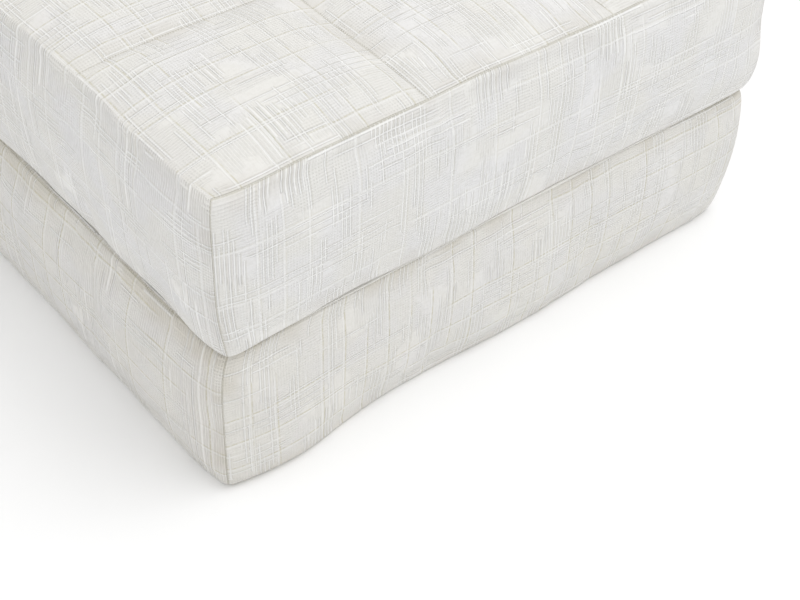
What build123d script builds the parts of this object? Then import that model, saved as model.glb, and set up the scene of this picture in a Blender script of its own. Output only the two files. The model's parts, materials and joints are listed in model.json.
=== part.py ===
from build123d import *
import math
import os

# A fold-out chair bed made of three foam blocks in quilted covers.
# X runs across the bed, Y from the front edge to the rear, Z up. The origin is
# at the middle of the folded chair's footprint, on the floor.

# Driving sizes, in millimetres
bed_width = 700.0            # one block, left side to right side
block_length = 650.0         # one block, front end to rear end
foam_height = 157.0          # thickness of each foam core
cover_cloth = 1.2            # woven quilted cloth
plain_cloth = 2.0            # plain cloth under the base and behind the back
side_cloth = 2.5             # side panels: woven cloth with its thin backing
panel_rise = 9.0             # depth of a quilted panel at its edge seam
free_crown = 11.0            # height of a tile where nothing presses on it
pressed_crown = 3.0          # height of a tile between two blocks
channel_crown = 0.6          # height left over the cloth along a sewn channel
tile_columns = 3
tile_rows = 3
side_draw = 4.0              # how far the middle of a side pulls in
side_bulge = 3.0             # how far a side swells between its two seams
foot_flat = 0.5              # flat worn on the end that the back stands on

# Clearances, in millimetres
layer_gap = 0.5              # play between one layer and the next
block_gap = 0.3              # air between two blocks
overrun = 40.0               # how far a cutting shape passes the edge it cuts

# Hinge cloths, in millimetres
hinge_cloth = 0.8            # strip sewn along the front joint
hinge_reach = 9.0            # how far its two leaves run back into the joint
hinge_lie = 1.2              # height of a sewn leaf over the seam that holds it
flap_cloth = 1.0             # flap between the base and the back
flap_inset = 15.0            # from the end of the flap to the side of the bed

# Zips, in millimetres
zip_length = 430.0
tape_height = 28.0
tape_cloth = 1.2
tape_gap = 0.15              # glue line under the tape
coil_height = 5.0            # closed teeth, across the tape
coil_proud = 1.4             # closed teeth, above the tape
coil_end = 8.0               # bare tape past each end of the teeth
slider_length = 13.0
slider_height = 9.0
slider_body = 3.6            # from its underside to its face
slider_gap = 0.2             # running gap round the teeth
ear_length = 4.4
ear_cloth = 1.4              # thickness of each ear across the pull
ear_rise = 3.4
pivot_radius = 0.9
pivot_gap = 0.12
pull_length = 24.0
pull_height = 7.4
pull_plate = 1.4
pull_hole_radius = 1.8
pull_corner = 2.2

# Heights and places worked out from the driving sizes
half_width = bed_width / 2
half_length = block_length / 2
base_height = plain_cloth + foam_height + panel_rise + pressed_crown
seat_level = base_height + block_gap
seat_edge = seat_level + pressed_crown + panel_rise + foam_height + panel_rise
back_depth = plain_cloth + foam_height + panel_rise + free_crown
back_gap = flap_cloth + 2 * block_gap
chair_depth = block_length + back_gap + back_depth
front_plane = -chair_depth / 2
stack_rear = front_plane + block_length
back_plane = stack_rear + back_gap
seat_hinge_level = (seat_edge + block_gap) / 2
zip_seat = half_width - side_draw * (1 - (zip_length / block_length) ** 2)
tape_face = zip_seat + tape_gap + tape_cloth
pivot_face = tape_face + slider_gap + slider_body + ear_rise / 2
zip_start = half_length - zip_length / 2
slider_rest = zip_start + coil_end + slider_length
slider_travel = zip_length - 2 * coil_end - 2 * slider_length
outer_side = pivot_face + ear_rise / 2
middle_line = (half_width - outer_side) / 2


def box_between(low, high):
    """A block from its lowest corner to its highest one."""
    size = [top - bottom for bottom, top in zip(low, high)]
    middle = [(top + bottom) / 2 for bottom, top in zip(low, high)]
    return Pos(*middle) * Box(*size)


def outline(grow, height, front_draw=side_draw):
    """Plan of a block: straight corners, each side pulled in at its middle."""
    side = half_width + grow
    front = -grow
    rear = block_length + grow
    corners = [(-side, front), (side, front), (side, rear), (-side, rear)]
    middles = [
        (0, front + front_draw),
        (side - side_draw, half_length),
        (0, rear - side_draw),
        (-side + side_draw, half_length),
    ]
    edges = []
    for index, middle in enumerate(middles):
        start = (*corners[index], height)
        end = (*corners[(index + 1) % len(corners)], height)
        if index == 0 and front_draw == 0:
            edges.append(Edge.make_line(start, end))
        else:
            edges.append(Edge.make_three_point_arc(start, (*middle, height), end))
    return Wire(edges)


def swelled_volume(inset, low, high, front_draw=side_draw):
    """A block's body between two seams, fullest half way up."""
    levels = [(low, -side_bulge), ((low + high) / 2, 0), (high, -side_bulge)]
    wires = [outline(swell - inset, level, front_draw) for level, swell in levels]
    return Solid.make_loft(wires)


def straight_volume(inset, low, high, front_draw=side_draw):
    """The plan of a block at its seams, carried straight up."""
    wires = [outline(-side_bulge - inset, level, front_draw) for level in (low, high)]
    return Solid.make_loft(wires, ruled=True)


def tile_profile(place, floor, rise, crown):
    """Cross-section of a quilted row: flat below, one arc for each tile above."""
    pitch = bed_width / tile_columns
    edges = [
        Edge.make_line((-half_width, place, floor), (half_width, place, floor)),
        Edge.make_line((half_width, place, floor), (half_width, place, rise)),
    ]
    for column in range(tile_columns):
        right = half_width - column * pitch
        left = right - pitch
        crest = ((left + right) / 2, place, rise + crown)
        edges.append(Edge.make_three_point_arc((right, place, rise), crest, (left, place, rise)))
    edges.append(Edge.make_line((-half_width, place, rise), (-half_width, place, floor)))
    return Wire(edges)


def quilted_rows(floor, rise, crown):
    """Every row of tiles: low along its two channels and full between them."""
    pitch = block_length / tile_rows
    rows = []
    for row in range(tile_rows):
        start = row * pitch
        stations = [
            (start, channel_crown),
            (start + pitch / 2, crown),
            (start + pitch, channel_crown),
        ]
        wires = [tile_profile(place, floor, rise, height) for place, height in stations]
        rows.append(Solid.make_loft(wires))
    return rows[0].fuse(*rows[1:])


def quilted_panel(crown, front_draw=side_draw):
    """Cloth and wadding of one quilted face, with its underside at height 0."""
    play = side_cloth + layer_gap
    trim = straight_volume(play, -overrun, panel_rise + overrun, front_draw)
    outer = quilted_rows(0, panel_rise, crown)
    under = quilted_rows(-overrun, panel_rise - cover_cloth, crown)
    filling = quilted_rows(0, panel_rise - cover_cloth - layer_gap, crown)
    cloth = (outer - under) & trim
    wadding = filling & trim
    return cloth, wadding


def turned_over(shape):
    """A panel made for an upper face, turned to lie on a lower one."""
    return Pos(0, block_length, 0) * Rot(180, 0, 0) * shape


def foam_core(floor, front_draw=side_draw):
    """The foam block inside the side panels."""
    return swelled_volume(side_cloth + layer_gap, floor, floor + foam_height, front_draw)


def side_panels(low, high, front_draw=side_draw):
    """Four side panels, mitred at the upright corner seams."""
    ring = swelled_volume(0, low, high, front_draw)
    ring = ring - swelled_volume(side_cloth, low, high, front_draw)
    depth = overrun
    far = block_length
    side = half_width
    over = overrun
    outer = [(-side - over, -over), (side + over, -over), (side + over, far + over), (-side - over, far + over)]
    inner = [(-side + depth, depth), (side - depth, depth), (side - depth, far - depth), (-side + depth, far - depth)]
    panels = {}
    for index, name in enumerate(("front", "right", "rear", "left")):
        after = (index + 1) % len(outer)
        corners = [outer[index], outer[after], inner[after], inner[index]]
        plan = make_face(Wire.make_polygon([(x, y, low - over) for x, y in corners], close=True))
        wedge = extrude(plan, amount=high - low + 2 * over, dir=(0, 0, 1))
        panels[name] = ring & wedge
    return panels


def flat_cover(low, high, front_draw=side_draw):
    """A plain cloth face inside the side panels."""
    return straight_volume(side_cloth + layer_gap, low, high, front_draw)


def zip_tape(level, low, high):
    """Tape with its closed teeth, on the right side panel."""
    half_tape = tape_height / 2
    half_coil = coil_height / 2
    tape = box_between(
        (zip_seat - side_draw, zip_start, level - half_tape),
        (tape_face, zip_start + zip_length, level + half_tape),
    )
    tape = tape - swelled_volume(-tape_gap, low, high)
    teeth = box_between(
        (tape_face - tape_cloth / 2, zip_start + coil_end, level - half_coil),
        (tape_face + coil_proud, zip_start + zip_length - coil_end, level + half_coil),
    )
    return tape + teeth


def zip_slider(level):
    """Slider that straddles the teeth, with two ears for the pull."""
    face = tape_face + slider_gap
    half_height = slider_height / 2
    half_body = slider_length / 2
    half_slot = coil_height / 2 + slider_gap
    half_ear = ear_length / 2
    body = box_between(
        (face, slider_rest - half_body, level - half_height),
        (face + slider_body, slider_rest + half_body, level + half_height),
    )
    slot = box_between(
        (face - overrun, slider_rest - half_body - overrun, level - half_slot),
        (tape_face + coil_proud + slider_gap, slider_rest + half_body + overrun, level + half_slot),
    )
    body = body - slot
    body = chamfer(body.faces().sort_by(Axis.X)[-1].edges(), slider_gap * 2)
    inner = pull_root_height() / 2 + pivot_gap
    for side in (-1, 1):
        near = level + side * inner
        far = level + side * (inner + ear_cloth)
        ear = box_between(
            (face + slider_body / 2, slider_rest - half_ear, min(near, far)),
            (face + slider_body + ear_rise, slider_rest + half_ear, max(near, far)),
        )
        body = body + ear
    hole = Pos(pivot_face, slider_rest, level) * Cylinder(pivot_radius + pivot_gap, slider_height * 2)
    return body - hole


def pull_root_height():
    """Width of the pull where it turns between the slider's ears."""
    return slider_height - 2 * ear_cloth - 2 * pivot_gap - 2 * slider_gap


def zip_pull(level):
    """Flat pull on a cross pin, lying along the zip."""
    pin = Pos(pivot_face, slider_rest, level) * Cylinder(pivot_radius, slider_height - 2 * slider_gap)
    half_root = pull_root_height() / 2
    half_plate = pull_plate / 2
    neck_end = slider_rest - slider_length / 2 - slider_gap
    neck = box_between(
        (pivot_face - half_plate, neck_end, level - half_root),
        (pivot_face + half_plate, slider_rest + pivot_radius, level + half_root),
    )
    plate = box_between(
        (pivot_face - half_plate, slider_rest - pull_length, level - pull_height / 2),
        (pivot_face + half_plate, neck_end, level + pull_height / 2),
    )
    plate = fillet(plate.edges().filter_by(Axis.X), pull_corner)
    hole_place = slider_rest - pull_length + 2 * pull_hole_radius
    hole = Pos(pivot_face, hole_place, level) * Rot(0, 90, 0) * Cylinder(pull_hole_radius, pull_plate * 2)
    return pin + neck + plate - hole


def front_hinge():
    """Strip of cloth folded round the front joint, from the base to the seat."""
    low = base_height - pressed_crown
    high = seat_level + pressed_crown
    half_mouth = (high - low) / 2 - hinge_lie
    middle = (high + low) / 2
    bend = front_plane + half_mouth
    rear = front_plane + hinge_reach
    inner = half_mouth - hinge_cloth
    edges = [
        Edge.make_line((0, rear, middle - half_mouth), (0, bend, middle - half_mouth)),
        Edge.make_three_point_arc(
            (0, bend, middle - half_mouth),
            (0, front_plane, middle),
            (0, bend, middle + half_mouth),
        ),
        Edge.make_line((0, bend, middle + half_mouth), (0, rear, middle + half_mouth)),
        Edge.make_line((0, rear, middle + half_mouth), (0, rear, middle + inner)),
        Edge.make_line((0, rear, middle + inner), (0, bend, middle + inner)),
        Edge.make_three_point_arc(
            (0, bend, middle + inner),
            (0, front_plane + hinge_cloth, middle),
            (0, bend, middle - inner),
        ),
        Edge.make_line((0, bend, middle - inner), (0, rear, middle - inner)),
        Edge.make_line((0, rear, middle - inner), (0, rear, middle - half_mouth)),
    ]
    length = bed_width - 2 * side_bulge - 2 * side_cloth
    strip = extrude(make_face(Wire(edges)), amount=length, dir=(1, 0, 0))
    return Pos(middle_line - length / 2, 0, 0) * strip


def rear_flap():
    """Cloth sewn over the base's rear edge, hanging down to the back's foot."""
    side = half_width - flap_inset
    low = block_gap + foot_flat
    high = base_height - pressed_crown + hinge_lie
    near = stack_rear + block_gap
    flap = box_between((-side, near, low), (side, near + flap_cloth, high))
    leaf = box_between((-side, stack_rear - hinge_reach, high), (side, near + flap_cloth, high + flap_cloth))
    return Pos(middle_line, 0, 0) * (flap + leaf)


def base_block():
    """The lower block: a plain underside and a quilted upper face."""
    low = 0
    high = base_height - pressed_crown
    cloth, wadding = quilted_panel(pressed_crown)
    panel_place = Pos(0, 0, plain_cloth + foam_height)
    level = (low + high) / 2
    pieces = {
        "base_foam_core": foam_core(plain_cloth),
        "base_upper_wadding": panel_place * wadding,
        "base_upper_cover": panel_place * cloth,
        "base_floor_cover": flat_cover(0, plain_cloth),
        "base_zip_tape": zip_tape(level, low, high),
        "base_zip_slider": zip_slider(level),
        "base_zip_pull": zip_pull(level),
    }
    for side, panel in side_panels(low, high).items():
        pieces[f"base_{side}_side"] = panel
    return pieces


def seat_block():
    """The upper block, quilted on both faces, in its own frame."""
    low = pressed_crown
    core_floor = pressed_crown + panel_rise
    high = core_floor + foam_height + panel_rise
    upper_cloth, upper_wadding = quilted_panel(free_crown)
    lower_cloth, lower_wadding = quilted_panel(pressed_crown)
    upper_place = Pos(0, 0, core_floor + foam_height)
    lower_place = Pos(0, 0, core_floor)
    level = (low + high) / 2
    pieces = {
        "seat_foam_core": foam_core(core_floor),
        "seat_upper_wadding": upper_place * upper_wadding,
        "seat_upper_cover": upper_place * upper_cloth,
        "seat_lower_wadding": lower_place * turned_over(lower_wadding),
        "seat_lower_cover": lower_place * turned_over(lower_cloth),
        "seat_zip_tape": zip_tape(level, low, high),
        "seat_zip_slider": zip_slider(level),
        "seat_zip_pull": zip_pull(level),
    }
    for side, panel in side_panels(low, high).items():
        pieces[f"seat_{side}_side"] = panel
    return pieces


def back_block():
    """The backrest block lying flat, with the end that it stands on at Y 0."""
    low = 0
    high = plain_cloth + foam_height + panel_rise
    cloth, wadding = quilted_panel(free_crown, 0)
    panel_place = Pos(0, 0, plain_cloth + foam_height)
    level = (low + high) / 2
    ends = side_panels(low, high, 0)
    floor_cut = box_between(
        (-bed_width, -overrun, low - overrun),
        (bed_width, foot_flat, high + overrun),
    )
    pieces = {
        "back_foam_core": foam_core(plain_cloth, 0),
        "back_front_wadding": panel_place * wadding,
        "back_front_cover": panel_place * cloth,
        "back_rear_cover": flat_cover(0, plain_cloth, 0),
        "back_bottom_end": ends["front"] - floor_cut,
        "back_top_end": ends["rear"],
        "back_left_side": ends["left"] - floor_cut,
        "back_right_side": ends["right"] - floor_cut,
        "back_zip_tape": zip_tape(level, low, high),
        "back_zip_slider": zip_slider(level),
        "back_zip_pull": zip_pull(level),
    }
    return pieces


def chair_bed():
    """Every piece of the folded chair, in place."""
    base_place = Pos(middle_line, front_plane, 0)
    seat_place = Pos(middle_line, front_plane, seat_level)
    back_place = Pos(middle_line, back_plane + back_depth, -foot_flat) * Rot(90, 0, 0)
    pieces = {}
    for place, block in (
        (base_place, base_block()),
        (seat_place, seat_block()),
        (back_place, back_block()),
    ):
        for name, shape in block.items():
            pieces[name] = place * shape
    pieces["front_hinge_strip"] = front_hinge()
    pieces["rear_hinge_flap"] = rear_flap()
    return pieces


os.makedirs("parts", exist_ok=True)
for piece_name, piece_shape in chair_bed().items():
    export_step(piece_shape, f"parts/{piece_name}.step")

print("folded chair", round(bed_width), "wide", round(chair_depth), "deep", round(block_length), "high")
print("front hinge axis: Y", round(front_plane - block_gap / 2, 3), "Z", round(seat_hinge_level, 3))
print("back hinge axis: Y", round(back_plane, 3), "Z 0, lift", round(back_depth, 3))
print("zip pivots: X", round(middle_line + pivot_face, 3), "Y along the block", round(slider_rest, 3))
print("slider travel", round(slider_travel, 3))
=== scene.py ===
import json
import math
import bpy
import numpy as np
from mathutils import Matrix, Vector

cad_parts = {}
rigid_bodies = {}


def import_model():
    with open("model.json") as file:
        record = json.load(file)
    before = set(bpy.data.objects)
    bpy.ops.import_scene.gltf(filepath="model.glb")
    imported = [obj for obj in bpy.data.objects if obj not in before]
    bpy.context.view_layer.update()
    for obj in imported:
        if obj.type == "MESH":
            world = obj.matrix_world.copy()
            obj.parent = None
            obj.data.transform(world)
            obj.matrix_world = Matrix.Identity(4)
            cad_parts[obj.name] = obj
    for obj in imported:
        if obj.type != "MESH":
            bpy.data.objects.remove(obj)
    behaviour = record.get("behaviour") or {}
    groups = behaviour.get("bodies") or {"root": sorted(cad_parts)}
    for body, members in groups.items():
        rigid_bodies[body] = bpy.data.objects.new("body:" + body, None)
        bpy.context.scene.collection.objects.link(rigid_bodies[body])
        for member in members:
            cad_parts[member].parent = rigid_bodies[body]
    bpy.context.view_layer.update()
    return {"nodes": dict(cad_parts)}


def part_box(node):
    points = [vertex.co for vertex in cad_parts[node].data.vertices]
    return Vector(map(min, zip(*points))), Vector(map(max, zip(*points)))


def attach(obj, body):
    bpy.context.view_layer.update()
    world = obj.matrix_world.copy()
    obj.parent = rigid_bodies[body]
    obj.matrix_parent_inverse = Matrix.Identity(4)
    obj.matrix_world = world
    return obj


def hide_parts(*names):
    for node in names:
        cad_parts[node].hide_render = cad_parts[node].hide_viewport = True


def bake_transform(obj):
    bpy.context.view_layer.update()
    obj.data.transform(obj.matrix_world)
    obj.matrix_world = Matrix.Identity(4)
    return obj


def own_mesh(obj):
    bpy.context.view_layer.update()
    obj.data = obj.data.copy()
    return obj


# A fold-out foam chair bed in ivory jacquard: three quilted blocks, seen from above one front corner.

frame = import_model()
print("frame loaded:", len(frame["nodes"]), "nodes")


# places read from the frame, in metres
baseFrontLow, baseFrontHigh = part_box("base_front_side")
seatFrontLow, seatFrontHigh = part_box("seat_front_side")
backEndLow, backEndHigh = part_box("back_bottom_end")
midX = (baseFrontLow[0] + baseFrontHigh[0]) / 2
frontY = baseFrontLow[1]
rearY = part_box("base_rear_side")[1][1]
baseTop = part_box("base_upper_cover")[1][2]
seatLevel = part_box("seat_lower_cover")[0][2]
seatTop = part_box("seat_upper_cover")[1][2]
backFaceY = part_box("back_front_cover")[0][1]

blockShape = {
    "width": 0.700,        # side to side
    "length": rearY - frontY,
    "draw": 0.004,         # how far the middle of a side pulls in
    "sidePower": 6.0,      # how flat a side is before it rounds to its seams
    "cornerPower": 22.0,   # how near to its end a side rounds to its upright seam
    "lipPower": 24.0,      # how tightly a side rolls over at its very edge
    "fallPower": 10.0,     # how near to its top the left side falls in
    "endPower": 12.0,      # how near to its ends a side keeps its swelling
    "tiles": 3,            # tiles each way
    "edgePower": 12.0,     # how flat a face is before it rounds to its edge
    "channelWidth": 0.021,  # how far the dip beside a sewn channel reaches
    "tileSteps": 28,       # grid steps along one tile
    "sideSteps": 24,       # grid steps up a side
    "cluster": 0.80,       # how far grid lines gather at the seams, 0 to 1
}
cage = {"tileSteps": 20, "sideSteps": 15}  # the coarser even grid that is inflated
wobble = {
    "plan": 0.0018,        # slow unevenness of the soft sides
    "level": 0.0013,       # slow unevenness of the faces
    "wave": 0.31,          # its wavelength
}
seamShape = {
    "groove": 0.00034,     # depth of a seam line
    "width": 0.0015,       # half width of a seam line
    "ridge": 0.0006,       # height of the turned cloth beside it
    "ridgeAt": 0.0044,     # how far from the line the cloth is highest
}
# the corner's tint is painted shade, darker towards the near corner
tintReach = {"left": 0.016, "front": 0.010, "top": 0.022, "corner": 0.110}  # how far each tint fades
puff = {
    "pressure": 4.0,
    "frames": 14,
    "slack": -0.010,       # spare cloth, as a negative shrink
    "cap": 0.006,          # the most that a point may move
    "free": 0.3,           # a point with less freedom than this is held
    "pressed": 0.005,      # a face with a lower crown than this is held
}
clothSettings = {"quality": 5, "mass": 0.25, "tension_stiffness": 14, "compression_stiffness": 14,
                 "shear_stiffness": 7, "bending_stiffness": 0.6, "air_damping": 2.0,
                 "use_pressure": True, "uniform_pressure_force": puff["pressure"],
                 "shrink_min": puff["slack"], "vertex_group_mass": "held", "pin_stiffness": 1.0}


def clustered(count, length, gather):
    # places along a strip: even steps less a sine, so that they gather at both ends
    t = np.linspace(0.0, 1.0, count + 1)
    return length * (t - gather * np.sin(2 * math.pi * t) / (2 * math.pi))


def tiledPlaces(count, length, gather):
    # the places of one tile, repeated for each tile along a side
    pitch = length / blockShape["tiles"]
    one = clustered(count, pitch, gather)
    return np.concatenate([one[:-1] + pitch * n for n in range(blockShape["tiles"])] + [[length]])


def channelDistance(places, length):
    # distance to the nearest line that divides the length into tiles, its two ends left out
    pitch = length / blockShape["tiles"]
    lines = pitch * np.arange(1, blockShape["tiles"])
    return np.min(np.abs(places[..., None] - lines), axis=-1)


def slowNoise(a, b, seed):
    # sum of four sine waves of unlike slant, from -1 to 1
    k = 2 * math.pi / wobble["wave"]
    total = np.sin(k * (0.83 * a + 0.41 * b) + seed)
    total += np.sin(k * (-0.52 * a + 0.97 * b) + 2.1 * seed + 1.3)
    total += 0.6 * np.sin(k * (1.71 * a - 1.13 * b) + 3.7 * seed + 0.4)
    total += 0.4 * np.sin(k * (2.9 * a + 2.3 * b) + 1.9 * seed + 2.2)
    return total / 3.0


def smoothStep(t):
    t = np.clip(t, 0.0, 1.0)
    return t * t * (3 - 2 * t)


def crownHeight(x, y, crown, dip):
    # pillow: one less a high power towards each edge, less a soft dip with a crease at each sewn channel
    halfW = blockShape["width"] / 2
    halfL = blockShape["length"] / 2
    p = blockShape["edgePower"]
    edge = (1 - np.abs(x / halfW) ** p) * (1 - np.abs(y / halfL - 1) ** p)
    dx = np.exp(-channelDistance(x + halfW, blockShape["width"]) / blockShape["channelWidth"])
    dy = np.exp(-channelDistance(y, blockShape["length"]) / blockShape["channelWidth"])
    return edge * (crown - dip * (1 - (1 - dx) * (1 - dy)))


def blockPoint(x, y, z, block):
    # point of a block from its place in a plain box: sides drawn in and swelled, faces crowned, then uneven
    halfW = blockShape["width"] / 2
    halfL = blockShape["length"] / 2
    low, high = block["low"], block["high"]
    xs = x / halfW
    ys = (y - halfL) / halfL
    zs = (2 * z - low - high) / (high - low)
    free = block["free"](x, y, z)
    swell = np.where(zs < 0, *block["rims"]) * np.abs(zs) ** blockShape["sidePower"]
    swell = swell + np.where(zs < 0, *block["lips"]) * np.abs(zs) ** blockShape["lipPower"]
    left, right, front, rear = block["puffs"]
    puffX = np.where(xs < 0, left, right) * (1 - np.abs(ys) ** blockShape["endPower"]) * free
    puffY = np.where(ys < 0, front, rear) * (1 - np.abs(xs) ** blockShape["endPower"])
    drawFront = np.where(ys < 0, block["frontDraw"], blockShape["draw"])
    fall = np.where(xs < 0, block["fall"], 0.0) * ((zs + 1) / 2) ** blockShape["fallPower"]
    sideX = halfW - blockShape["draw"] * (1 - ys ** 2) - swell - fall + puffX
    sideY = halfL - drawFront * (1 - xs ** 2) - swell + puffY
    corner = np.abs(xs * ys) ** blockShape["cornerPower"]
    corner = corner * (block["corners"][0] + (block["corners"][1] - block["corners"][0]) * (zs + 1) / 2)
    px = xs * (sideX - corner)
    py = halfL + ys * (sideY - corner)
    onTop = zs > 0.999999
    onBottom = zs < -0.999999
    pz = z + np.where(onTop, crownHeight(x, y, block["highCrown"], block["highDip"]), 0.0)
    pz = pz - np.where(onBottom, crownHeight(x, y, block["lowCrown"], block["lowDip"]), 0.0)
    px = px + free * wobble["plan"] * slowNoise(y, z, block["seed"])
    py = py + free * wobble["plan"] * slowNoise(x, z, block["seed"] + 4.0)
    lift = wobble["level"] * slowNoise(x, y, block["seed"] + 8.0)
    pz = pz + free * lift * np.clip((zs + 1) / 2, 0, 1) * block["lift"]
    points = np.stack([px, py, pz], axis=-1)
    # soft lumps: each moves what is near it, by a gaussian of the distance
    for lumpX, lumpY, lumpZ, reach, moveX, moveY, moveZ in block["lumps"]:
        near = np.exp(-((x - lumpX) ** 2 + (y - lumpY) ** 2 + (z - lumpZ) ** 2) / reach ** 2)
        points = points + near[..., None] * np.array([moveX, moveY, moveZ])
    return points


def quadMesh(name, points, quads, patterns):
    # mesh from arrays of points, four-sided faces and their flat pattern in metres
    mesh = bpy.data.meshes.new(name)
    mesh.vertices.add(len(points))
    mesh.vertices.foreach_set("co", points.astype(np.float32).ravel())
    mesh.loops.add(quads.size)
    mesh.loops.foreach_set("vertex_index", quads.astype(np.int32).ravel())
    mesh.polygons.add(len(quads))
    mesh.polygons.foreach_set("loop_start", np.arange(0, quads.size, 4, dtype=np.int32))
    mesh.update(calc_edges=True)
    layer = mesh.uv_layers.new(name="pattern")
    layer.data.foreach_set("uv", patterns.astype(np.float32).ravel())
    mesh.polygons.foreach_set("use_smooth", np.ones(len(quads), bool))
    return mesh


panels = [  # name, fixed axis, high or low end, first axis, second axis, turned
    ("top", 2, 1, 0, 1, False), ("bottom", 2, 0, 0, 1, True), ("front", 1, 0, 0, 2, False),
    ("rear", 1, 1, 0, 2, True), ("left", 0, 0, 1, 2, True), ("right", 0, 1, 1, 2, False)]


def blockMesh(name, block, tileSteps, sideSteps, gather):
    # closed block from six grids that share their edges, each with its own flat pattern in metres
    halfW = blockShape["width"] / 2
    length = blockShape["length"]
    xs = tiledPlaces(tileSteps, blockShape["width"], gather) - halfW
    ys = tiledPlaces(tileSteps, length, gather)
    zs = block["low"] + clustered(sideSteps, block["high"] - block["low"], gather)
    axes = (xs, ys, zs)
    sizes = [len(a) for a in axes]
    ni, nj, nk = sizes
    quads, patterns, sides, grids = [], [], [], []
    for index, (side, fixed, end, first, second, turned) in enumerate(panels):
        a, b = np.meshgrid(np.arange(sizes[first]), np.arange(sizes[second]), indexing="ij")
        lattice = [None, None, None]
        lattice[fixed] = np.full_like(a, end * (sizes[fixed] - 1))
        lattice[first] = a
        lattice[second] = b
        key = (lattice[0] * nj + lattice[1]) * nk + lattice[2]
        grids.append(key)
        u = axes[first][a]
        v = axes[second][b]
        if fixed == 0:  # the cloth of the left and right sides runs on from the top's
            drop = zs[-1] - v
            pattern = np.stack([np.where(end, halfW + drop, -halfW - drop) + block["seed"], u], axis=-1)
        else:
            pattern = np.stack([u + 1.37 * index + block["seed"], v + 0.83 * index], axis=-1)
        corners = [(slice(None, -1), slice(None, -1)), (slice(1, None), slice(None, -1)),
                   (slice(1, None), slice(1, None)), (slice(None, -1), slice(1, None))]
        if turned:
            corners = corners[::-1]
        quads.append(np.stack([key[c] for c in corners], axis=-1).reshape(-1, 4))
        patterns.append(np.stack([pattern[c] for c in corners], axis=-2).reshape(-1, 2))
        sides.append(np.full(len(quads[-1]), index))
    used, welded = np.unique(np.concatenate(quads), return_inverse=True)
    k = used % nk
    j = (used // nk) % nj
    i = used // (nk * nj)
    x, y, z = xs[i], ys[j], zs[k]
    mesh = quadMesh(name, blockPoint(x, y, z, block), welded.reshape(-1, 4), np.concatenate(patterns))
    # distance from the nearest sewn line, on each face
    onLow, onHigh = k == 0, k == nk - 1
    onX = (i == 0) | (i == ni - 1)
    ex = np.minimum(x + halfW, halfW - x)
    ey = np.minimum(y, length - y)
    ez = np.minimum(z - block["low"], block["high"] - z)
    channel = np.minimum(channelDistance(x + halfW, blockShape["width"]), channelDistance(y, length))
    edge = np.minimum(ex, ey)
    quilted = (onHigh & (block["highCrown"] > 0)) | (onLow & (block["lowCrown"] > 0))
    side = np.minimum(ez, np.where(onX, ey, ex))
    gap = np.where(onLow | onHigh, np.where(quilted, np.minimum(edge, channel), edge), side)
    # the top's cloth may fold over the left edge with no seam: that line is left out of what shows as sewn
    fold = bool(block["folded"])
    openTop = np.minimum(np.where(fold, halfW - x, ex), ey)
    openSide = np.minimum(np.where((i == 0) & fold, z - block["low"], ez), np.where(onX, ey, ex))
    openTop = np.minimum(openTop, np.where(quilted, channel, openTop))
    sewn = np.where(onHigh, openTop, np.where(onLow, gap, openSide))
    # tint: fades down from the top of two sides, in from the left edge of the top, and away from one corner;
    # the corner's part is painted shade, and on the base the side rims lie in the crease under the seat, so
    # there it is partly painted shade
    under = block["high"] - z
    rimLeft, rimFront, rimTop, paintedCornerShade = block["tintsAndShade"]
    rim = rimLeft * (i == 0) * np.exp(-under / tintReach["left"])
    rim = rim + rimFront * (j == 0) * np.exp(-under / tintReach["front"])
    rim = np.maximum(rim, rimTop * onHigh * np.exp(-(x + halfW) / tintReach["top"]))
    rim = np.maximum(rim, paintedCornerShade * np.exp(-np.hypot(x + halfW, y) / tintReach["corner"]))
    data = {"x": x, "y": y, "z": z, "gap": gap, "sewn": sewn, "rim": rim, "onLow": onLow, "onHigh": onHigh,
            "edge": np.where(onLow | onHigh, edge, side), "sides": np.concatenate(sides), "axes": axes,
            "grids": [np.searchsorted(used, g) for g in grids]}
    return mesh, data


def readPoints(mesh, kind="co"):
    flat = np.empty(len(mesh.vertices) * 3, np.float32)
    mesh.vertices.foreach_get(kind, flat)
    return flat.reshape(-1, 3).astype(float)


def writePoints(mesh, points):
    mesh.vertices.foreach_set("co", points.astype(np.float32).ravel())
    mesh.update()


def writeValue(mesh, name, values, domain="POINT"):  # one number for each point or face, for the materials
    layer = mesh.attributes.new(name, "FLOAT", domain)
    layer.data.foreach_set("value", values.astype(np.float32))


def inflate(piece, held):
    # cloth pressure from inside, held along the sewn lines; each point's move is capped smoothly
    group = piece.vertex_groups.new(name="held")
    group.add(np.flatnonzero(held).tolist(), 1.0, "REPLACE")
    before = readPoints(piece.data)
    cloth = piece.modifiers.new("cloth", "CLOTH")
    for setting, value in clothSettings.items():
        setattr(cloth.settings, setting, value)
    cloth.settings.effector_weights.gravity = 0.0
    cloth.collision_settings.use_collision = False
    cloth.collision_settings.use_self_collision = False
    cloth.point_cache.frame_start = 1
    cloth.point_cache.frame_end = puff["frames"]
    scene = bpy.context.scene
    for step in range(1, puff["frames"] + 1):
        scene.frame_set(step)
    swelled = piece.evaluated_get(bpy.context.evaluated_depsgraph_get())
    after = readPoints(swelled.to_mesh())
    swelled.to_mesh_clear()
    piece.modifiers.remove(cloth)
    scene.frame_set(1)
    move = after - before
    length = np.linalg.norm(move, axis=1, keepdims=True)
    print(piece.name, "inflated, largest move", round(float(length.max()) * 1000, 1), "mm")
    return move * puff["cap"] * np.tanh(length / puff["cap"]) / np.maximum(length, 1e-9)


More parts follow.
